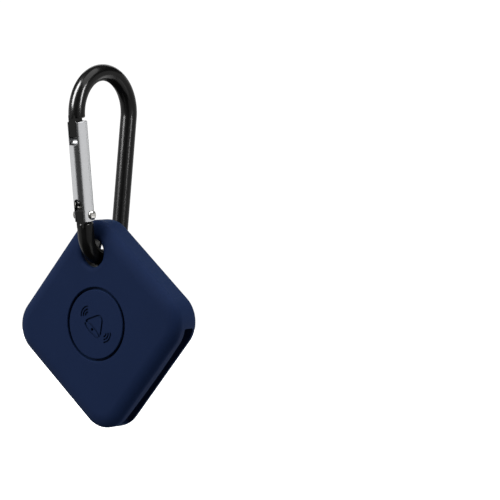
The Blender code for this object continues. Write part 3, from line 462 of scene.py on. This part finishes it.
def wire_form(points, radius):
    """A round wire along points, as one closed skin."""
    curve = bpy.data.curves.new("wire", "CURVE")
    curve.dimensions = "3D"
    curve.bevel_depth = radius
    curve.bevel_resolution = 4
    curve.use_fill_caps = True
    spline = curve.splines.new("POLY")
    spline.points.add(len(points) - 1)
    for point, co in zip(spline.points, points):
        point.co = (*co, 1.0)
    drawn = bpy.data.objects.new("wire", curve)
    bpy.context.scene.collection.objects.link(drawn)
    mesh = bpy.data.meshes.new_from_object(drawn.evaluated_get(bpy.context.evaluated_depsgraph_get()))
    bpy.data.objects.remove(drawn, do_unlink=True)
    bpy.data.curves.remove(curve)
    bm = bmesh.new()
    bm.from_mesh(mesh)
    bpy.data.meshes.remove(mesh)
    bmesh.ops.remove_doubles(bm, verts=bm.verts, dist=WELD)
    bmesh.ops.recalc_face_normals(bm, faces=bm.faces)
    return bm


def settle(bm, name, place=None):
    """Makes an object at the origin from a form, with its place in its mesh."""
    if place is not None:
        bmesh.ops.transform(bm, matrix=place, verts=bm.verts)
    mesh = bpy.data.meshes.new(name)
    bm.to_mesh(mesh)
    bm.free()
    obj = bpy.data.objects.new(name, mesh)
    bpy.context.scene.collection.objects.link(obj)
    return obj


def carve(obj, forms, operation="DIFFERENCE", place=None):
    """Cuts forms from an object, or joins them to it, one after another."""
    for form in forms:
        tool = settle(form, "tool", place)
        step = obj.modifiers.new("Cut", "BOOLEAN")
        step.operation = operation
        step.solver = "EXACT"
        step.object = tool
        graph = bpy.context.evaluated_depsgraph_get()
        mesh = bpy.data.meshes.new_from_object(obj.evaluated_get(graph))
        obj.modifiers.remove(step)
        old, obj.data = obj.data, mesh
        bpy.data.meshes.remove(old)
        used = tool.data
        bpy.data.objects.remove(tool, do_unlink=True)
        bpy.data.meshes.remove(used)
    return obj


def soften_edges(obj, width, segments=2, angle=50.0):
    """Breaks the sharp edges that cutting leaves."""
    step = obj.modifiers.new("Softened edges", "BEVEL")
    step.width = width
    step.segments = segments
    step.limit_method = "ANGLE"
    step.angle_limit = math.radians(angle)
    step.use_clamp_overlap = True


def dress(obj, name, material, body, slot, *nodes):
    """Names a finished piece, shades it, gives it its finish, and hangs it on its body."""
    obj.name = obj.data.name = name
    obj.data.materials.clear()
    obj.data.materials.append(material)
    obj.data.shade_smooth()
    obj.data.set_sharp_from_angle(angle=math.radians(38.0))
    flat = obj.modifiers.new("Flat faces first", "WEIGHTED_NORMAL")
    flat.keep_sharp = True
    flat.weight = 100
    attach(obj, body)
    if nodes:
        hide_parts(*nodes)
    return obj


class ClipShape:
    """Bend centres, leg tilt and lengths along the gate's leg, from the frame's box and the bends."""

    def __init__(self, sizes):
        self.top_z = sizes.rod_radius - sizes.top_bend
        self.bottom_z = CLIP_LOW.z + sizes.rod_radius + sizes.bottom_bend
        spacing = self.top_z - self.bottom_z
        self.tilt = math.asin((sizes.top_bend - sizes.bottom_bend) / spacing)
        self.leg_length = spacing * math.cos(self.tilt)
        self.up_front = Vector((0.0, -math.sin(self.tilt), math.cos(self.tilt)))
        self.up_back = Vector((0.0, math.sin(self.tilt), math.cos(self.tilt)))
        foot = Vector((0.0, -sizes.bottom_bend * math.cos(self.tilt),
                       self.bottom_z - sizes.bottom_bend * math.sin(self.tilt)))
        self.rivet_up_leg = (RIVET_AXIS - foot).length
        self.nose_shoulder = self.leg_length - self.rivet_up_leg
        self.leg = Matrix.Translation(RIVET_AXIS) @ Matrix.Rotation(self.tilt, 4, "X")


class TAG_OT_clip_frame(bpy.types.Operator):
    """Bend the carabiner's rod and shape its heel and nose tongues"""
    bl_idname = "tracker_tag.clip_frame"
    bl_label = "Clip frame"

    def execute(self, context):
        sizes = context.scene.tag_clip
        shape = ClipShape(sizes)
        bm = bmesh.new()
        ring = bmesh.ops.create_circle(bm, cap_ends=False, segments=ROD_SIDES, radius=sizes.rod_radius)
        heel = shape.leg @ Matrix.Translation((0, 0, -sizes.heel_shoulder))
        bmesh.ops.transform(bm, matrix=heel, verts=ring["verts"])
        edges = self.stretch(bm, list(bm.edges), -shape.up_front * (shape.rivet_up_leg - sizes.heel_shoulder))
        edges = self.bend(bm, edges, (0, 0, shape.bottom_z), math.pi - 2 * shape.tilt, 48)
        edges = self.stretch(bm, edges, shape.up_back * shape.leg_length)
        self.bend(bm, edges, (0, 0, shape.top_z), math.pi + 2 * shape.tilt, 64)
        bmesh.ops.remove_doubles(bm, verts=bm.verts, dist=WELD)
        ends = [e for e in bm.edges if e.is_boundary]
        bmesh.ops.holes_fill(bm, edges=ends, sides=0)
        bmesh.ops.recalc_face_normals(bm, faces=bm.faces)
        round_over(bm, ends, sizes.end_rounding, 4)
        frame_piece = settle(bm, "clip_frame_fine")
        carve(frame_piece, self.tongues(sizes, shape.nose_shoulder), "UNION", shape.leg)
        bore, reach = context.scene.tag_gate.rivet_radius + RIVET_PLAY, 1.5 * sizes.rod_radius
        carve(frame_piece, [cylinder_form(bore, -reach, reach, PIN_SIDES, "X")], place=shape.leg)
        soften_edges(frame_piece, sizes.cut_rounding, 3)
        dress(frame_piece, "clip_frame_fine", black_anodised(), "carabiner", "black_anodised_aluminium",
              "clip_frame")
        return {"FINISHED"}

    @staticmethod
    def stretch(bm, edges, move):
        """Draws an open ring straight on, and gives the ring at its new end."""
        grown = bmesh.ops.extrude_edge_only(bm, edges=edges)["geom"]
        verts = [item for item in grown if isinstance(item, bmesh.types.BMVert)]
        bmesh.ops.translate(bm, vec=move, verts=verts)
        return [item for item in grown if isinstance(item, bmesh.types.BMEdge)]

    @staticmethod
    def bend(bm, edges, centre, angle, steps):
        """Sweeps an open ring round a bend's centre, and gives the ring at its new end."""
        verts = list(dict.fromkeys(v for e in edges for v in e.verts))
        swept = bmesh.ops.spin(bm, geom=verts + edges, cent=centre, axis=(1, 0, 0), dvec=(0, 0, 0),
                               angle=angle, steps=steps, use_merge=False)
        return [item for item in swept["geom_last"] if isinstance(item, bmesh.types.BMEdge)]

    @staticmethod
    def tongues(sizes, nose_shoulder):
        """The heel tongue with its rounded crown, and the nose tongue with its relieved tip."""
        outer, reach, half = -sizes.tongue_face, sizes.tongue_reach, sizes.tongue_width / 2
        root = -sizes.heel_shoulder - OVERSHOOT
        heel = [(outer, root), (reach, root)]
        heel += [(reach * math.cos(math.radians(a)), reach * math.sin(math.radians(a)))
                 for a in range(0, 91, 6)]
        heel += [(outer + sizes.heel_corner, reach), (outer, reach - sizes.heel_corner)]
        tip = nose_shoulder - sizes.nose_length
        deep = outer + sizes.nose_depth
        top = nose_shoulder + 0.8 * OVERSHOOT
        blunt, relief = sizes.nose_blunting, sizes.nose_relief
        nose = [(outer, tip + blunt), (outer + blunt, tip), (deep - relief, tip),
                (deep, tip + relief), (deep, top), (outer, top)]
        return [plate_form(heel, half), plate_form(nose, half)]


class TAG_OT_gate(bpy.types.Operator):
    """Bore and slot the gate tube, and head its rivet"""
    bl_idname = "tracker_tag.gate"
    bl_label = "Gate and rivet"

    def execute(self, context):
        sizes = context.scene.tag_gate
        leg = ClipShape(context.scene.tag_clip).leg
        tube = cylinder_form(sizes.radius, -sizes.below, sizes.top, TUBE_SIDES)
        round_over(tube, ring_edges(tube, 2, sizes.top) + ring_edges(tube, 2, -sizes.below),
                   sizes.end_rounding, 3)
        gate = settle(tube, "gate_tube_fine", leg)
        half, far = sizes.slot_half, 4 * OVERSHOOT
        heel_round = cylinder_form(half, -far, 0.0, PIN_SIDES, "Y")
        bmesh.ops.translate(heel_round, vec=(0, 0, sizes.heel_slot_top - half), verts=heel_round.verts)
        scoop = cylinder_form(sizes.scoop_radius, -half, half, 48, "X")
        bmesh.ops.translate(scoop, vec=(0, -sizes.scoop_out, sizes.notch_floor - sizes.scoop_drop),
                            verts=scoop.verts)
        cuts = [cylinder_form(sizes.bore, -far, sizes.bore_top, 56),
                box_form((-half, -far, -far), (half, 0.0, sizes.heel_slot_top - half)),
                heel_round,
                box_form((-half, 0.0, -far), (half, far, sizes.foot_slot)),
                box_form((-half, -far, sizes.notch_floor), (half, sizes.notch_depth, sizes.top + far)),
                scoop,
                cylinder_form(sizes.rivet_radius + RIVET_PLAY, -far, far, PIN_SIDES, "X"),
                plate_form(self.heel_relief(sizes), 3 * OVERSHOOT)]
        carve(gate, cuts, place=leg)
        soften_edges(gate, sizes.cut_rounding, 2)
        dress(gate, "gate_tube_fine", bare_aluminium(), "gate", "bare_aluminium", "gate_tube")

        across = leg @ Matrix.Rotation(math.radians(90.0), 4, "Z")
        rivet = settle(turned_form(self.rivet_profile(sizes), 48), "gate_rivet_fine", across)
        dress(rivet, "gate_rivet_fine", plated_steel(), "carabiner", "plated_steel", "gate_rivet")
        return {"FINISHED"}

    @staticmethod
    def heel_relief(sizes):
        """What comes off the tube's lower end on its inner side, so that it clears the rod as it turns."""
        side, low, rounding = sizes.radius, -sizes.below, sizes.heel_rounding
        relief = [(side + OVERSHOOT, low - OVERSHOOT), (side + OVERSHOOT, rounding + low)]
        for step in range(10):
            angle = math.radians(-10.0 * step)
            relief.append((side - rounding * (1 - math.cos(angle)), low + rounding * (1 + math.sin(angle))))
        relief.append((side - rounding, low - OVERSHOOT))
        return relief

    @staticmethod
    def rivet_profile(sizes):
        """The rivet from head to head, with a domed head at each end of its shank."""
        start = sizes.radius + RIVET_PLAY
        head = [(0.0, start + sizes.head_height)]
        for step in range(1, 13):
            angle = math.radians(7.5 * step)
            head.append((sizes.head_radius * math.sin(angle), start + sizes.head_height * math.cos(angle)))
        head.append((sizes.rivet_radius, start))
        return head + [(radius, -y) for radius, y in reversed(head)]


class TAG_OT_sleeve(bpy.types.Operator):
    """Mould the silicone sleeve with its pocket, slot, hole and pad window"""
    bl_idname = "tracker_tag.sleeve"
    bl_label = "Silicone sleeve"

    def execute(self, context):
        sizes = context.scene.tag_sleeve
        half = sizes.side / 2
        steps = sizes.smoothness
        outside = slab_form(half, sizes.corner, FRONT_Y + sizes.front_depth, BACK_Y, 3 * steps, steps,
                            back=sizes.back_fillet)
        crown_front(outside, FRONT_Y, sizes.front_depth, sizes.front_width, 2 * steps)
        body = settle(outside, "silicone_sleeve_fine", TAG_PLACE)
        pocket_half = half - sizes.side_wall
        pocket_front, pocket_back = FRONT_Y + sizes.front_wall, BACK_Y - sizes.back_wall
        pocket = slab_form(pocket_half, sizes.corner - sizes.side_wall, pocket_front, pocket_back, steps,
                           3, sizes.pocket_front_edge, sizes.pocket_back_edge)
        slot = self.slot_form(sizes, pocket_front, pocket_back)
        hole = turned_form(self.hole_profile(sizes), TUBE_SIDES)
        bmesh.ops.translate(hole, vec=(-HOLE_INSET, 0.0, HOLE_INSET), verts=hole.verts)
        carve(body, [pocket, slot, hole, self.window(sizes, pocket_front)], place=TAG_PLACE)
        soften_edges(body, SOFT_RIM, 3, 60.0)
        dress(body, "silicone_sleeve_fine", navy_silicone(), "tag", "navy_silicone", "silicone_sleeve")
        return {"FINISHED"}

    @staticmethod
    def slot_form(sizes, pocket_front, pocket_back):
        """The slot through the side wall, its front lip bowed and its ends rounded."""
        low, high, back = -sizes.slot_low, sizes.slot_high, pocket_back - sizes.slot_back_lip
        outline = [(back, high), (back, low)]
        steps = 24
        for index in range(steps + 1):
            off_middle = 2 * index / steps - 1
            outline.append((pocket_front + sizes.slot_front_lip - sizes.slot_bow * off_middle ** 2,
                            low + (high - low) * index / steps))
        bm = plate_form(outline, sizes.side_wall + OVERSHOOT)
        ends = [e for e in bm.edges if abs(e.verts[0].co.x - e.verts[1].co.x) > sizes.side_wall
                and min(abs(e.verts[0].co.z - low), abs(e.verts[0].co.z - high)) < FLAT]
        round_over(bm, ends, sizes.slot_rounding, 4)
        bmesh.ops.translate(bm, vec=(sizes.side / 2, 0.0, 0.0), verts=bm.verts)
        return bm

    @staticmethod
    def hole_profile(sizes):
        """The hole from back to front, flared over both rims."""
        outer_back = sizes.hole_radius + sizes.back_rim
        outer_front = sizes.hole_radius + sizes.front_rim
        points = [(0.0, BACK_Y + OVERSHOOT), (outer_back, BACK_Y + OVERSHOOT)]
        points += quarter(outer_back, BACK_Y - sizes.back_rim, sizes.back_rim, 90.0, 180.0, 8)
        for step in range(13):
            angle = math.radians(7.5 * step)
            points.append((outer_front - sizes.front_rim * math.cos(angle),
                           FRONT_Y + sizes.rim_depth * (1 - math.sin(angle))))
        points += [(outer_front, FRONT_Y - OVERSHOOT), (0.0, FRONT_Y - OVERSHOOT)]
        return points

    @staticmethod
    def window(sizes, pocket_front):
        """The stepped opening for the press pad, its front edge rounded."""
        opening = PAD_RADIUS + sizes.groove
        ledge = FRONT_Y + sizes.pad_rim + sizes.pad_travel + PAD_PLAY
        points = [(0.0, pocket_front + OVERSHOOT), (opening - sizes.pad_lip, pocket_front + OVERSHOOT),
                  (opening - sizes.pad_lip, ledge), (opening, ledge)]
        points += quarter(opening + SOFT_RIM, FRONT_Y + SOFT_RIM, SOFT_RIM, 180.0, 270.0, 6)
        points += [(opening + SOFT_RIM, FRONT_Y - OVERSHOOT), (0.0, FRONT_Y - OVERSHOOT)]
        return turned_form(points, PAD_STEPS)


class TAG_OT_press_pad(bpy.types.Operator):
    """Mould the round press pad and engrave its ringing-bell sign"""
    bl_idname = "tracker_tag.press_pad"
    bl_label = "Press pad"

    def execute(self, context):
        sizes = context.scene.tag_sleeve
        rim_back, core = FRONT_Y + sizes.pad_rim, sizes.pad_core
        points = [(0.0, PAD_HIGH.y), (core, PAD_HIGH.y), (core, rim_back), (PAD_RADIUS, rim_back)]
        points += quarter(PAD_RADIUS - SOFT_RIM, FRONT_Y + SOFT_RIM, SOFT_RIM, 0.0, -90.0, 6)
        points.append((0.0, FRONT_Y))
        pad = settle(turned_form(points, PAD_STEPS), "press_pad_fine", TAG_PLACE)
        carve(pad, self.sign(sizes.line_radius), place=TAG_PLACE)
        dress(pad, "press_pad_fine", navy_silicone(), "press_pad", "navy_silicone", "sleeve_press_pad")
        return {"FINISHED"}

    @staticmethod
    def sign(line):
        """Lines of a plain ringing bell, in millimetres: mouth, dome, clapper and three arcs on each side."""
        mouth_half, mouth_depth, mouth_z = 2.8, 0.75, -1.75
        shoulder, flare, rise, dome_foot = 1.9, 0.85, 4.1, -1.6
        ring_place, ring_radii, ring_spread = 3.2, (0.75, 1.45, 2.15), math.radians(50.0)
        clapper_radius = 0.42 * MM

        def on_face(x, z):
            return (x * MM, FRONT_Y + 0.5 * line, z * MM)

        lips = [[on_face(mouth_half * math.sin(a), mouth_z + side * mouth_depth * math.cos(a))
                 for a in (math.radians(-78.0 + 6.5 * i) for i in range(25))] for side in (-1.0, 1.0)]
        dome = [on_face(shoulder * math.cos(a) + flare * math.cos(a) ** 9, dome_foot + rise * math.sin(a))
                for a in (math.radians(4.5 * i) for i in range(41))]
        forms = [wire_form(path, line) for path in (*lips, dome)]
        for side in (-1.0, 1.0):
            for reach in ring_radii:
                arc = [on_face(side * (ring_place + reach * math.cos(a)), reach * math.sin(a))
                       for a in (-ring_spread + 2 * ring_spread * i / 14 for i in range(15))]
                forms.append(wire_form(arc, line * 0.9))
        clapper = bmesh.new()
        bmesh.ops.create_uvsphere(clapper, u_segments=20, v_segments=12, radius=clapper_radius)
        bmesh.ops.translate(clapper, vec=on_face(0.0, mouth_z), verts=clapper.verts)
        return forms + [clapper]


INNER_FINISHES = {
    "plated_steel": plated_steel,
    "black_abs": black_abs,
    "black_rubber": black_rubber,
    "board_laminate": board_laminate,
    "white_ceramic": fired_ceramic,
    "contact_brass": rolled_brass,
    "chip_resin": chip_resin,
    "grey_foam": grey_foam,
}


class TAG_OT_inner_parts(bpy.types.Operator):
    """Give the tracker's shells and everything in them their real finishes"""
    bl_idname = "tracker_tag.inner_parts"
    bl_label = "Inner parts"

    def execute(self, context):
        made = {name: build() for name, build in INNER_FINISHES.items()}
        for entry in frame["record"]["subparts"]:
            finish = made.get(entry["material_slot"])
            node = frame["nodes"][entry["node"]]
            if finish is None or node.hide_render:
                continue
            node.data.materials.clear()
            node.data.materials.append(finish)
        return {"FINISHED"}


FLOOR_DROP = 0.12
CAMERA_AZIMUTH, CAMERA_ELEVATION = 40.0, 5.0
CAMERA_DISTANCE, CAMERA_LENS = 0.637, 189.0
CAMERA_ASIDE = Vector((0.3 * MM, 0.0, 0.0))
CAMERA_PAN, CAMERA_TILT = math.radians(-3.11), math.radians(1.6)


def add_light(name, kind, place, energy):
    """Adds a light of this kind and power at a place."""
    data = bpy.data.lights.new(name, kind)
    data.energy = energy
    light = bpy.data.objects.new(name, data)
    light.location = place
    bpy.context.scene.collection.objects.link(light)
    return light


def direction(azimuth, elevation):
    """Unit vector towards a viewer at this azimuth and elevation, in degrees."""
    a, e = math.radians(azimuth), math.radians(elevation)
    return Vector((math.sin(a) * math.cos(e), -math.cos(a) * math.cos(e), math.sin(e)))


class TAG_OT_stage(bpy.types.Operator):
    """Set up the pale floor, the soft lights and the camera"""
    bl_idname = "tracker_tag.stage"
    bl_label = "Stage"

    def execute(self, context):
        self.floor()
        self.world(context.scene)
        self.lights()
        self.camera(context.scene)
        context.scene.view_settings.view_transform = "Standard"
        return {"FINISHED"}

    @staticmethod
    def floor():
        """A pale sheet well under the tag, with a lamp of its own that keeps it white."""
        height = SLEEVE_LOW.z - FLOOR_DROP
        bm = bmesh.new()
        bmesh.ops.create_circle(bm, cap_ends=True, segments=96, radius=1.6)
        floor = settle(bm, "floor", Matrix.Translation((0, 0, height)))
        paper, _, _, _ = new_material("pale_paper", linear("#F6F6F6"), Roughness=0.9)
        floor.data.materials.append(paper)
        floor.visible_glossy = False
        floor.visible_diffuse = False
        floor.visible_shadow = False
        lit = bpy.data.collections.new("floor_only")
        lit.objects.link(floor)
        lamp = add_light("floor_lamp", "SUN", Vector((0, 0, 1.0)), 6.0)
        lamp.data.angle = math.radians(60.0)
        lamp.light_linking.receiver_collection = lit

    @staticmethod
    def world(scene):
        """A white sweep behind the tag, in a room that is dim in its reflections."""
        world = bpy.data.worlds.new("studio")
        scene.world = world
        world.use_nodes = True
        tree = world.node_tree
        tree.nodes.clear()
        path = add_node(tree, "ShaderNodeLightPath")
        white = add_node(tree, "ShaderNodeBackground", inputs={"Color": (1, 1, 1, 1), "Strength": 1.05})
        room = add_node(tree, "ShaderNodeBackground", inputs={"Color": (1, 1, 1, 1), "Strength": 0.035})
        mix = add_node(tree, "ShaderNodeMixShader", links={"Fac": path.outputs["Is Camera Ray"]})
        tree.links.new(room.outputs["Background"], mix.inputs[1])
        tree.links.new(white.outputs["Background"], mix.inputs[2])
        add_node(tree, "ShaderNodeOutputWorld", links={"Surface": mix.outputs["Shader"]})

    @staticmethod
    def lights():
        """Soft boxes round the tag, and two that light the carabiner's rod only."""
        rod = bpy.data.collections.new("rod_only")
        rod.objects.link(bpy.data.objects["clip_frame_fine"])
        # Name, azimuth and elevation in degrees, distance, width and height in metres, power in watts.
        boxes = (("soft_panel_left", -73, -5, 0.55, 1.18, 0.60, 1.66),
                 ("soft_panel_right", 99, -5, 0.55, 1.31, 0.60, 1.85),
                 ("soft_panel_far", 178, -5, 0.60, 0.60, 0.60, 0.85),
                 ("soft_box_high", -28, 41, 0.60, 0.30, 0.56, 3.8),
                 ("soft_box_top", 100, 66, 0.60, 0.50, 0.50, 3.2),
                 ("soft_box_low", 105, -38, 0.60, 0.50, 0.40, 0.8),
                 ("soft_box_rim", 160, -30, 0.60, 0.40, 0.30, 0.7),
                 ("soft_box_back", 215, 30, 0.70, 0.50, 0.30, 0.60),
                 ("rod_streak_left", -26, 42, 0.60, 0.24, 0.56, 30.0),
                 ("rod_streak_right", 88, 25, 0.60, 0.12, 0.28, 8.0))
        for name, azimuth, elevation, distance, width, height, power in boxes:
            light = add_light(name, "AREA", TAG_CENTRE + direction(azimuth, elevation) * distance, power)
            light.data.shape = "RECTANGLE"
            light.data.size, light.data.size_y = width, height
            light.rotation_euler = (-direction(azimuth, elevation)).to_track_quat("-Z", "Y").to_euler()
            light.visible_camera = False
            if name.startswith("rod_"):
                light.light_linking.receiver_collection = rod

    @staticmethod
    def camera(scene):
        """A long lens a little over half a metre away, aimed beside the tag so that it hangs at the left."""
        data = bpy.data.cameras.new("camera")
        data.sensor_width = 36.0
        data.lens = CAMERA_LENS
        data.clip_end = 50.0
        camera = bpy.data.objects.new("camera", data)
        scene.collection.objects.link(camera)
        back = direction(CAMERA_AZIMUTH, CAMERA_ELEVATION)
        camera.location = TAG_CENTRE + CAMERA_ASIDE + back * CAMERA_DISTANCE
        aim = (-back).to_track_quat("-Z", "Y").to_matrix().to_4x4()
        aside = Matrix.Rotation(CAMERA_PAN, 4, "Y") @ Matrix.Rotation(CAMERA_TILT, 4, "X")
        camera.rotation_euler = (aim @ aside).to_euler()
        scene.camera = camera


STEPS = (TAG_OT_clip_frame, TAG_OT_gate, TAG_OT_sleeve, TAG_OT_press_pad, TAG_OT_inner_parts, TAG_OT_stage)


class TAG_PT_panel(bpy.types.Panel):
    """Lists the steps that build the tag"""
    bl_idname = "TAG_PT_panel"
    bl_label = "Tracker Tag"
    bl_space_type = "VIEW_3D"
    bl_region_type = "UI"
    bl_category = "Tracker Tag"

    def draw(self, context):
        for group in (context.scene.tag_clip, context.scene.tag_gate, context.scene.tag_sleeve):
            box = self.layout.box()
            for name in group.__annotations__:
                box.prop(group, name)
        for step in STEPS:
            self.layout.operator(step.bl_idname)


CLASSES = (ClipSizes, GateSizes, SleeveSizes, *STEPS, TAG_PT_panel)


def register():
    for cls in CLASSES:
        bpy.utils.register_class(cls)
    bpy.types.Scene.tag_clip = PointerProperty(type=ClipSizes)
    bpy.types.Scene.tag_gate = PointerProperty(type=GateSizes)
    bpy.types.Scene.tag_sleeve = PointerProperty(type=SleeveSizes)


def unregister():
    del bpy.types.Scene.tag_sleeve
    del bpy.types.Scene.tag_gate
    del bpy.types.Scene.tag_clip
    for cls in reversed(CLASSES):
        bpy.utils.unregister_class(cls)


def main():
    register()
    for step in STEPS:
        family, name = step.bl_idname.split(".")
        getattr(getattr(bpy.ops, family), name)()


if __name__ == "__main__":
    main()
